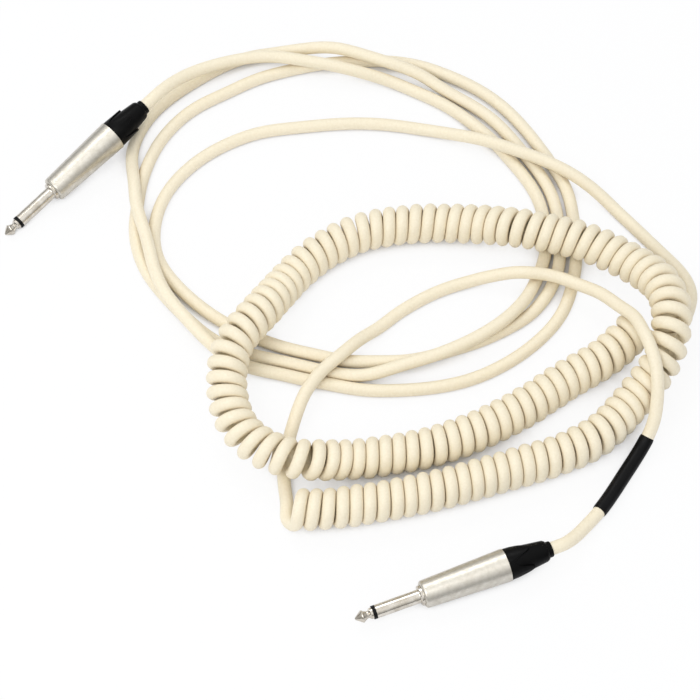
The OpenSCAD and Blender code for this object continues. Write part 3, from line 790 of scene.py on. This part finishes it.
@dataclass(frozen=True)
class Finish:
    """One surface finish, as a Principled material with cloudy colour, a fine grain and, if wished, painted
    shade in its crevices.
    """

    name: str
    slot: Slot
    light: Point
    dark: Point
    roughness: Span = (0.4, 0.5)
    metallic: float = 0.0
    cloud_scale: float = 60.0
    cloud_range: Span = (0.35, 0.65)
    grain_scale: float = 900.0
    grain_stretch: Point = (1.0, 1.0, 1.0)
    grain_depth: float = 0.00002
    grain_strength: float = 0.5
    specular: float = 0.5
    follows_run: bool = False
    # Painted shade: how far the colour darkens towards a brown where a neighbour lies within reach, found by
    # an ambient-occlusion node.
    painted_shade: float = 0.0
    painted_shade_colour: Point = (0.45, 0.33, 0.19)
    painted_shade_reach: float = 0.004
    painted_shade_range: Span = (0.15, 0.55)
    painted_shade_samples: int = 8

    @cache
    def material(self) -> bpy.types.Material:
        """Build the material, once for each finish.

        Returns:
            The material.
        """
        mat = bpy.data.materials.new(self.name)
        t = NodeTools.emptied(mat)
        out = t.add("ShaderNodeOutputMaterial", 700)
        gloss = {"Metallic": self.metallic, "Specular IOR Level": self.specular}
        shader = t.add("ShaderNodeBsdfPrincipled", 400, 0, gloss)
        t.join(shader, "BSDF", out, "Surface")
        coords = t.add("ShaderNodeTexCoord", -800)
        low, high = self.cloud_range
        cloudy = {
            "Scale": self.cloud_scale, "Low": low, "High": high,
            "Light Colour": (*self.light, 1), "Dark Colour": (*self.dark, 1),
        }
        clouds = t.add("ShaderNodeGroup", -400, 200, cloudy, node_tree=SharedEffects.cloudiness())
        t.join(coords, "Object", clouds, "Vector")
        # Painted shade: if set, the base colour darkens where an ambient-occlusion node finds a neighbour
        # close.
        if self.painted_shade:
            t.join(self._shade_painted_in(t, clouds), "Result", shader, "Base Color")
        else:
            t.join(clouds, "Colour", shader, "Base Color")
        rough = t.remap(-100, -100, (0.0, 1.0), self.roughness)
        t.join(clouds, "Mask", rough, "Value")
        t.join(rough, "Result", shader, "Roughness")
        fine = {"Scale": self.grain_scale, "Stretch": self.grain_stretch}
        grain = t.add("ShaderNodeGroup", -400, -300, fine, node_tree=SharedEffects.grain())
        t.join(coords, "UV" if self.follows_run else "Object", grain, "Vector")
        height = {"Strength": self.grain_strength, "Distance": self.grain_depth}
        bump = t.add("ShaderNodeBump", 100, -300, height)
        t.join(grain, "Height", bump, "Height")
        t.join(bump, "Normal", shader, "Normal")
        return mat

    def _shade_painted_in(self, t: NodeTools, clouds: bpy.types.Node) -> bpy.types.Node:
        """Paint shade into the colour: darken it where a neighbour lies close, where shade falls.

        Args:
            t: The material's tree.
            clouds: The node that puts out the clean colour.

        Returns:
            The node that puts out the colour with painted shade.
        """
        reach = {"Distance": self.painted_shade_reach}
        # Painted shade: the less open sky round a point, the more of the dark colour it gets.
        narrow = t.add("ShaderNodeAmbientOcclusion", -400, 500, reach, samples=self.painted_shade_samples)
        amount = t.remap(-200, 500, self.painted_shade_range, (self.painted_shade, 0.0))
        mix = t.add("ShaderNodeMix", 50, 400, {"B": (*self.painted_shade_colour, 1)}, data_type="RGBA")
        t.join(narrow, "AO", amount, "Value")
        t.join(amount, "Result", mix, "Factor")
        t.join(clouds, "Colour", mix, "A")
        return mix

    def dress(self, obj: bpy.types.Object) -> None:
        """Give an object this finish in all its material slots.

        Args:
            obj: The object.
        """
        if not obj.material_slots:
            obj.data.materials.append(self.material())
        for s in obj.material_slots:
            s.material = self.material()


# The jacket's colour carries painted shade in the gaps between its curls.
JACKET = Finish(
    "cream_jacket", Slot.JACKET, light=(0.92, 0.84, 0.66), dark=(0.86, 0.765, 0.575), roughness=(0.42, 0.52),
    cloud_scale=900, cloud_range=(0.25, 0.75), grain_scale=1400, grain_stretch=(0.3, 1.0, 1.0),
    grain_depth=0.00004, grain_strength=0.4, specular=0.4, follows_run=True, painted_shade=0.55,
)
BRIGHT_NICKEL = Finish(
    "bright_nickel_plate", Slot.BRIGHT_NICKEL, light=(0.78, 0.74, 0.67), dark=(0.56, 0.51, 0.43),
    roughness=(0.12, 0.22), metallic=1.0, cloud_scale=260, grain_scale=1200, grain_depth=0.00001,
    grain_strength=0.2,
)
SATIN_NICKEL = Finish(
    "satin_nickel_plate", Slot.SATIN_NICKEL, light=(0.71, 0.68, 0.61), dark=(0.59, 0.555, 0.48),
    roughness=(0.33, 0.43), metallic=1.0, cloud_scale=420, cloud_range=(0.3, 0.7), grain_scale=2600,
    grain_depth=0.00003, grain_strength=0.6,
)
BLACK_PLASTIC = Finish(
    "moulded_black_plastic", Slot.BLACK_PLASTIC, light=(0.0025, 0.0025, 0.0028), dark=(0.005, 0.005, 0.0055),
    roughness=(0.35, 0.45), cloud_scale=200, grain_scale=1500, specular=0.15,
)
BOOT_RUBBER = Finish(
    "soft_black_boot", Slot.BOOT, light=(0.001, 0.001, 0.0011), dark=(0.0025, 0.0025, 0.0026),
    roughness=(0.32, 0.45), cloud_scale=180, grain_scale=2200, grain_depth=0.00004, specular=0.09,
)
SHRINK_TUBE = Finish(
    "black_shrink_tube", Slot.SHRINK_TUBE, light=(0.002, 0.002, 0.0022), dark=(0.004, 0.004, 0.0044),
    roughness=(0.36, 0.46), cloud_scale=120, grain_scale=1600, grain_stretch=(0.2, 1.0, 1.0), specular=0.13,
    follows_run=True,
)
WHITE_PLASTIC = Finish(
    "moulded_white_plastic", Slot.WHITE_PLASTIC, light=(0.80, 0.79, 0.75), dark=(0.72, 0.71, 0.67),
)
COPPER = Finish(
    "tinned_copper_strands", Slot.COPPER, light=(0.72, 0.42, 0.26), dark=(0.62, 0.36, 0.22),
    roughness=(0.25, 0.4), metallic=1.0, cloud_scale=500, grain_scale=3000,
)


# ---------------------------------------------------------------- sub-assemblies


@dataclass
class Boot:
    """The soft bend protector: a cone with a stepped tail and threaded neck, under a crown with four tongues.

    An edge is a row of points, each given by its distance past the edge's place and its depth under the
    surface. In the thread, which is one of its turns, the depth is a share of the thread's own.
    """

    end: End
    layout: Layout
    neck_at: float = 65.5
    neck_r: float = 6.07
    neck_bore_r: float = 5.08
    neck_edge: float = 0.3
    head_at: float = 73.6
    head_r: float = 7.45
    tail_at: float = 92.4
    tail_r: float = 5.0
    collar_at: float = 93.45
    collar_r: float = 3.8
    bore_r: float = 3.45
    bore_past_chuck: float = 1.0
    sides: int = 72
    thread_pitch: float = 1.0
    thread_depth: float = 0.28
    thread_turns: int = 6
    crown_sides: int = 144
    crown_bore_r: float = 5.4
    crown_edge: float = 0.25
    crown_drop: float = 0.5
    crown_lap: float = 0.1
    tongues: int = 4
    tongue_len: float = 11.6
    notch_len: float = 2.4

    THREAD: ClassVar[tuple[Span, ...]] = ((0.0, 0.0), (0.2, 0.0), (0.45, 1.0), (0.75, 1.0))
    TAIL_EDGE: ClassVar[tuple[Span, ...]] = ((-0.3, -0.04), (0.1, 0.12), (0.8, 0.55), (1.0, 0.85))
    COLLAR_EDGE: ClassVar[tuple[Span, ...]] = ((-0.5, 0.03), (-0.15, 0.12), (0.0, 0.25))
    HEAD_EDGE: ClassVar[tuple[Span, ...]] = ((0.0, 0.25), (0.08, 0.08), (0.25, 0.0))
    TONGUE_EDGE: ClassVar[tuple[Span, ...]] = ((-0.25, 0.0), (-0.08, 0.07), (0.0, 0.22))
    ROLL: ClassVar[dict[End, float]] = {End.A: 21.0, End.B: 45.0}
    SHARP: ClassVar[float] = math.radians(28)
    WELD: ClassVar[float] = 0.000002

    def build(self) -> bpy.types.Object:
        """Turn the body and the crown, join them and put the boot in its place.

        Returns:
            The boot.
        """
        boot = self._turned(f"bend_protector_{self.end.value}", self._profile(), self.sides)
        crown = self._turned("crown", self._crown_profile(), self.crown_sides)
        self._notch(crown)
        self._unite(boot, crown)
        bpy.ops.object.shade_smooth_by_angle(angle=self.SHARP)
        place = self.layout.plug(self.end).matrix(self.layout.middle)
        boot.data.transform(place @ Matrix.Rotation(math.radians(self.ROLL[self.end]), 4, "X"))
        BOOT_RUBBER.dress(boot)
        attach(boot, f"boot_{self.end.value}")
        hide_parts(f"boot_{self.end.value}")
        return boot

    @staticmethod
    def _edge(at: float, radius: float, edge: tuple[Span, ...]) -> Rings:
        """Give the rings of one rounded edge.

        Args:
            at: The edge's place along the plug.
            radius: The surface's radius.
            edge: The edge's points.

        Returns:
            The rings.
        """
        return [(at + past, radius - depth) for past, depth in edge]

    def _profile(self) -> Rings:
        """Draw the body's rings, round the whole wall.

        Returns:
            The rings as distance along the plug and radius.
        """
        s = self.layout.sizes
        cone_end, shoulder = s.chuck_end + self.bore_past_chuck, self.head_at + self.crown_lap
        thread_at = self.neck_at + self.neck_edge
        thread = [
            (thread_at + turn * self.thread_pitch + past, self.neck_r - self.thread_depth * share)
            for turn in range(self.thread_turns)
            for past, share in self.THREAD
        ]
        return [
            (self.neck_at, self.neck_bore_r),
            (self.neck_at, self.neck_r - self.neck_edge),
            *thread,
            (thread_at + self.thread_turns * self.thread_pitch, self.neck_r),
            (shoulder, self.neck_r),
            (shoulder, self.head_r - self.crown_lap),
            *self._edge(self.tail_at, self.tail_r, self.TAIL_EDGE),
            (self.collar_at, self.collar_r),
            *self._edge(s.boot_end, self.collar_r, self.COLLAR_EDGE),
            (s.boot_end, self.bore_r),
            (cone_end, self.bore_r),
            (cone_end, self.neck_bore_r),
        ]

    def _crown_profile(self) -> Rings:
        """Draw the crown's rings, with the tongues' full length.

        Returns:
            The rings as distance along the plug and radius.
        """
        end = self.head_at + self.tongue_len
        return [
            (self.head_at, self.crown_bore_r),
            *self._edge(self.head_at, self.head_r, self.HEAD_EDGE),
            *self._edge(end, self.head_r - self.crown_drop, self.TONGUE_EDGE),
            (end, self.crown_bore_r),
        ]

    def _turned(self, name: str, rings: Rings, sides: int) -> bpy.types.Object:
        """Extrude and scale a circle ring by ring along a profile, and close it on itself.

        Args:
            name: The new object's name.
            rings: The profile's rings as distance along the plug and radius.
            sides: The number of sides of the circle.

        Returns:
            The turned object.
        """
        bpy.ops.object.select_all(action="DESELECT")
        at, radius = rings[0]
        bpy.ops.mesh.primitive_circle_add(
            vertices=sides, radius=radius * MM, location=(at * MM, 0, 0), rotation=(0, math.pi / 2, 0)
        )
        body = bpy.context.object
        body.name = name
        bpy.ops.object.transform_apply(location=True, rotation=True, scale=True)
        bpy.ops.object.mode_set(mode="EDIT")
        bpy.ops.mesh.select_all(action="SELECT")
        for (at, radius), (next_at, next_radius) in zip(rings, rings[1:] + rings[:1]):
            bpy.ops.mesh.extrude_region_move(TRANSFORM_OT_translate={"value": ((next_at - at) * MM, 0, 0)})
            grow = next_radius / radius
            bpy.ops.transform.resize(value=(1, grow, grow), center_override=(next_at * MM, 0, 0))
        bpy.ops.mesh.select_all(action="SELECT")
        bpy.ops.mesh.remove_doubles(threshold=self.WELD)
        bpy.ops.mesh.normals_make_consistent(inside=False)
        bpy.ops.object.mode_set(mode="OBJECT")
        return body

    def _notch(self, crown: bpy.types.Object) -> None:
        """Shorten the crown in a wave between its tongues, and keep its slope.

        Args:
            crown: The crown, with the tongues' length all round.
        """
        places = np.empty(len(crown.data.vertices) * 3)
        crown.data.vertices.foreach_get("co", places)
        places = places.reshape(-1, 3) / MM
        radius = np.linalg.norm(places[:, 1:], axis=1)
        wave = np.cos(self.tongues * np.arctan2(places[:, 1], places[:, 2]))
        length = (self.tongue_len + self.notch_len) / 2 + (self.tongue_len - self.notch_len) / 2 * wave
        past = places[:, 0] - self.head_at - self.crown_edge
        shorter = np.maximum(past, 0) * (1 - (length - self.crown_edge) / (self.tongue_len - self.crown_edge))
        outer = radius > self.crown_bore_r + self.crown_edge
        grow = 1 + outer * shorter * self.crown_drop / self.tongue_len / radius
        places[:, 0] -= shorter
        places[:, 1:] *= grow[:, None]
        crown.data.vertices.foreach_set("co", (places * MM).ravel())
        crown.data.update()

    @staticmethod
    def _unite(body: bpy.types.Object, crown: bpy.types.Object) -> None:
        """Join the crown to the body as one skin, and select the body.

        Args:
            body: The body, which takes the crown in.
            crown: The crown, which is removed.
        """
        pick(body)
        union = body.modifiers.new("crown", "BOOLEAN")
        union.operation, union.solver, union.object = "UNION", "EXACT", crown
        bpy.ops.object.modifier_apply(modifier=union.name)
        bpy.data.objects.remove(crown, do_unlink=True)


@dataclass
class Cords:
    """The cable's cord: the long lead, the curly section and the short lead with its sleeve."""

    layout: Layout
    body: str
    boot: bpy.types.Object
    tuck: float = 0.06
    route_step: float = 1.0
    long_step: float = 2.0
    short_step: float = 1.5
    long_ease: float = 7.0
    short_ease: float = 4.0
    inside_points: int = 30
    sleeve_sides: int = 24
    sleeve_play: float = 0.02

    def build(self) -> list[bpy.types.Object]:
        """Returns:
            The pieces.
        """
        s = self.layout.sizes
        curls = Curls(self.layout)
        LOG.info("%d curls, least gap between them %.3f mm", curls.count, curls.least_gap())
        long_lead = self._long_lead(curls)
        short_lead = self._short_lead(curls)
        radius = s.cord_d / 2
        lead_a = Tube("long_lead", long_lead, radius, narrow_end=self.tuck).build()
        curly = Tube("curly_cord", curls.line, radius, outward=curls.outward).build()
        lead_b = Tube("short_lead", short_lead, radius, narrow_start=self.tuck).build()
        sleeve = self._sleeve(short_lead)
        for obj, node in ((lead_a, "lead_a"), (curly, "curly_section"), (lead_b, "lead_b")):
            self._place(obj, node, JACKET)
        self._place(sleeve, "heat_shrink_sleeve", SHRINK_TUBE)
        a_exit = self.layout.plug(End.A).at(s.chuck_end, self.layout.middle)
        return [lead_a, curly, lead_b, sleeve]

    def _place(self, obj: bpy.types.Object, node: str, finish: Finish) -> None:
        """Dress a cord piece and let it stand for its solid.

        Args:
            obj: The piece.
            node: The solid's node.
            finish: The piece's finish.
        """
        finish.dress(obj)
        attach(obj, self.body)
        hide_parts(node)

    def _long_lead(self, curls: Curls) -> Line:
        """Lay the long lead from the first plug to the curly section.

        Args:
            curls: The curly section.

        Returns:
            The lead's line, which ends a little way inside the curly section's cord.
        """
        s, middle, plug = self.layout.sizes, self.layout.middle, self.layout.plug(End.A)
        radius = s.cord_d / 2
        exit_point = plug.at(s.boot_end + s.straight_run, middle)
        route = np.concatenate([[exit_point], self.layout.laid(self.layout.LONG_LEAD, radius), [curls.start]])
        line = Line.through(route, plug.aim, curls.start_run, self.route_step, self.long_ease)
        inside = np.linspace(plug.at(s.jacket_at, middle), exit_point, self.inside_points)[:-1]
        even = Line(np.concatenate([inside, line.points])).even(self.long_step).lifted(radius)
        return Line(np.concatenate([even.points, [curls.start + curls.start_run]]))

    def _short_lead(self, curls: Curls) -> Line:
        """Lay the short lead from the curly section to the second plug.

        Args:
            curls: The curly section.

        Returns:
            The lead's line, which starts a little way inside the curly section's cord.
        """
        s, middle, plug = self.layout.sizes, self.layout.middle, self.layout.plug(End.B)
        radius = s.cord_d / 2
        exit_point = plug.at(s.boot_end + s.straight_run, middle)
        route = np.concatenate([[curls.end], self.layout.laid(self.layout.SHORT_LEAD, radius), [exit_point]])
        line = Line.through(route, curls.end_run, -plug.aim, self.route_step, self.short_ease)
        inside = np.linspace(exit_point, plug.at(s.jacket_at, middle), self.inside_points)[1:]
        even = Line(np.concatenate([line.points, inside])).even(self.short_step).lifted(radius)
        return Line(np.concatenate([[curls.end - curls.end_run], even.points]))

    def _sleeve(self, lead: Line) -> bpy.types.Object:
        """Make the heat-shrink sleeve as a tube with a wall, whose ends curl in to the cord.

        Args:
            lead: The short lead's line.

        Returns:
            The sleeve.
        """
        s = self.layout.sizes
        ends = self.layout.laid(self.layout.SLEEVE_SPAN, s.cord_d / 2)
        first, last = (int(np.argmin(np.linalg.norm(lead.points - e, axis=1))) for e in ends)
        part = Line(lead.points[first : last + 1]).even(self.route_step)
        half_wall = s.sleeve_wall / 2
        sleeve = Tube(
            "shrink_sleeve", part, s.cord_d / 2 + s.sleeve_wall, sides=self.sleeve_sides,
            narrow_start=half_wall, narrow_end=half_wall, capped=False,
        ).build()
        pick(sleeve)
        wall = sleeve.modifiers.new("wall", "SOLIDIFY")
        wall.thickness, wall.offset = (s.sleeve_wall - self.sleeve_play) * MM, -1
        bpy.ops.object.modifier_apply(modifier=wall.name)
        return sleeve


@dataclass(frozen=True)
class Lamp:
    """One square soft lamp, with its place and size in metres and its power in watts."""

    name: str
    place: Point
    size: float
    power: float
    target: Point = (0.03, 0, 0)

    def hang(self) -> None:
        """Hang the lamp in its place, turned to its target."""
        data = bpy.data.lights.new(self.name, "AREA")
        data.shape = "SQUARE"
        data.size = self.size
        data.energy = self.power
        lamp = bpy.data.objects.new(self.name, data)
        lamp.location = self.place
        lamp.rotation_euler = (Vector(self.target) - Vector(self.place)).to_track_quat("-Z", "Y").to_euler()
        bpy.context.scene.collection.objects.link(lamp)


@dataclass
class Studio:
    """The floor, the light and the camera."""

    layout: Layout
    distance: float = 1.2
    elevation: float = 60.0
    target: Point = (40.0, 2.0, 0.0)
    pixels_per_depth: float = 2500.0
    image: int = 700
    sensor: float = 36.0
    clip: Span = (0.01, 20.0)
    floor_size: float = 8.0
    floor_drop: float = 0.0001
    floor_colour: tuple[float, ...] = (0.9, 0.9, 0.92, 1)
    shade_reach: float = 0.015
    shade_range: Span = (0.2, 0.46)
    shade_samples: int = 12
    most_glow: float = 0.9
    sky_colour: tuple[float, ...] = (0.97, 0.985, 1.0, 1)
    sky_strength: float = 0.72
    reflected_range: Span = (0.05, 0.8)
    reflected_strength: Span = (0.2, 1.05)

    LAMPS: ClassVar[tuple[Lamp, ...]] = (
        Lamp("key_lamp", (-0.35, -0.55, 1.1), 0.8, 6.0),
        Lamp("back_lamp", (-0.28, 0.7, 1.16), 0.5, 3.0),
    )

    def build(self) -> None:
        """Make the stage."""
        self._camera()
        self._floor()
        self._world()
        for lamp in self.LAMPS:
            lamp.hang()

    def _camera(self) -> None:
        """Place the camera."""
        data = bpy.data.cameras.new("camera")
        data.sensor_width = self.sensor
        data.lens = data.sensor_width * self.pixels_per_depth / self.image
        data.clip_start, data.clip_end = self.clip
        cam = bpy.data.objects.new("camera", data)
        e = math.radians(self.elevation)
        aim = Vector((0, math.cos(e), -math.sin(e)))
        target = Vector((np.array(self.target) - self.layout.middle) * MM)
        cam.location = target - aim * self.distance
        cam.rotation_euler = (math.radians(90 - self.elevation), 0, 0)
        bpy.context.scene.collection.objects.link(cam)
        bpy.context.scene.camera = cam

    def _floor(self) -> None:
        """Make a pale floor that looks white and keeps the object's shadow."""
        bpy.ops.object.select_all(action="DESELECT")
        bpy.ops.mesh.primitive_plane_add(size=self.floor_size, location=(0, 0, -self.floor_drop))
        floor = bpy.context.object
        floor.name = "floor"
        mat = bpy.data.materials.new("pale_floor")
        t = NodeTools.emptied(mat)
        out = t.add("ShaderNodeOutputMaterial", 600)
        mix = t.add("ShaderNodeMixShader", 400)
        matt = t.add("ShaderNodeBsdfDiffuse", 0, -100, {"Color": self.floor_colour})
        glow = t.add("ShaderNodeEmission", 0, 100, {"Color": WHITE, "Strength": 1.0})
        path = t.add("ShaderNodeLightPath", -600)
        seen = t.add("ShaderNodeMath", -400, 200, operation="MAXIMUM")
        reach = {"Distance": self.shade_reach}
        open_sky = t.add("ShaderNodeAmbientOcclusion", -600, 400, reach, samples=self.shade_samples)
        glow_share = t.remap(-400, 400, self.shade_range, (0.0, self.most_glow))
        share = t.add("ShaderNodeMath", 0, 300, operation="MULTIPLY")
        t.join(open_sky, "AO", glow_share, "Value")
        t.join(path, "Is Camera Ray", seen, 0)
        t.join(path, "Is Transmission Ray", seen, 1)
        t.join(seen, 0, share, 0)
        t.join(glow_share, "Result", share, 1)
        t.join(share, 0, mix, "Fac")
        t.join(matt, "BSDF", mix, 1)
        t.join(glow, "Emission", mix, 2)
        t.join(mix, "Shader", out, "Surface")
        floor.data.materials.append(mat)

    def _world(self) -> None:
        """Light the scene evenly, with a white background and a reflected sky that is brighter overhead."""
        world = bpy.data.worlds.new("studio")
        bpy.context.scene.world = world
        t = NodeTools.emptied(world)
        out = t.add("ShaderNodeOutputWorld", 600)
        mix = t.add("ShaderNodeMixShader", 400)
        gloss_mix = t.add("ShaderNodeMixShader", 200, -100)
        reflected = t.add("ShaderNodeBackground", 0, -300, {"Color": WHITE})
        coords = t.add("ShaderNodeTexCoord", -800, -300)
        height = t.add("ShaderNodeSeparateXYZ", -600, -300)
        strength = t.remap(-300, -300, self.reflected_range, self.reflected_strength)
        sky = {"Color": self.sky_colour, "Strength": self.sky_strength}
        soft = t.add("ShaderNodeBackground", 0, -100, sky)
        white = t.add("ShaderNodeBackground", 0, 100, {"Color": WHITE, "Strength": 1.0})
        path = t.add("ShaderNodeLightPath", -400)
        t.join(coords, "Generated", height, "Vector")
        t.join(height, "Z", strength, "Value")
        t.join(strength, "Result", reflected, "Strength")
        t.join(path, "Is Camera Ray", mix, "Fac")
        t.join(path, "Is Glossy Ray", gloss_mix, "Fac")
        t.join(soft, "Background", gloss_mix, 1)
        t.join(reflected, "Background", gloss_mix, 2)
        t.join(gloss_mix, "Shader", mix, 1)
        t.join(white, "Background", mix, 2)
        t.join(mix, "Shader", out, "Surface")


@dataclass
class Plug:
    """One jack plug: the finishes of its pieces."""

    end: End

    FINISHES: ClassVar[dict[str, Finish]] = {
        "tip_contact": BRIGHT_NICKEL,
        "sleeve_contact": BRIGHT_NICKEL,
        "tip_lug": BRIGHT_NICKEL,
        "ground_lug": BRIGHT_NICKEL,
        "tip_insulator": BLACK_PLASTIC,
        "rear_insulator": BLACK_PLASTIC,
        "chuck": BLACK_PLASTIC,
        "insert": WHITE_PLASTIC,
        "core": WHITE_PLASTIC,
        "shell": SATIN_NICKEL,
        "centre_conductor": COPPER,
        "shield_pigtail": COPPER,
    }

    def dress(self) -> None:
        """Give the plug's solids their finishes."""
        for piece, finish in self.FINISHES.items():
            finish.dress(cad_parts[f"{piece}_{self.end.value}"])


def main() -> None:
    """Build the whole scene."""
    logging.basicConfig(level=logging.INFO, format="%(name)s: %(message)s")
    bpy.context.scene.view_settings.view_transform = "Standard"
    layout = Layout()
    Studio(layout).build()
    boots = {end: Boot(end, layout).build() for end in End}
    for obj in (*boots.values(), *Cords(layout, MAIN_BODY, boots[End.B]).build()):
        LOG.info("%s: %d faces", obj.name, len(obj.data.polygons))
    for end in End:
        Plug(end).dress()
        LOG.info("plug %s dressed", end.value)


if __name__ == "__main__":
    main()
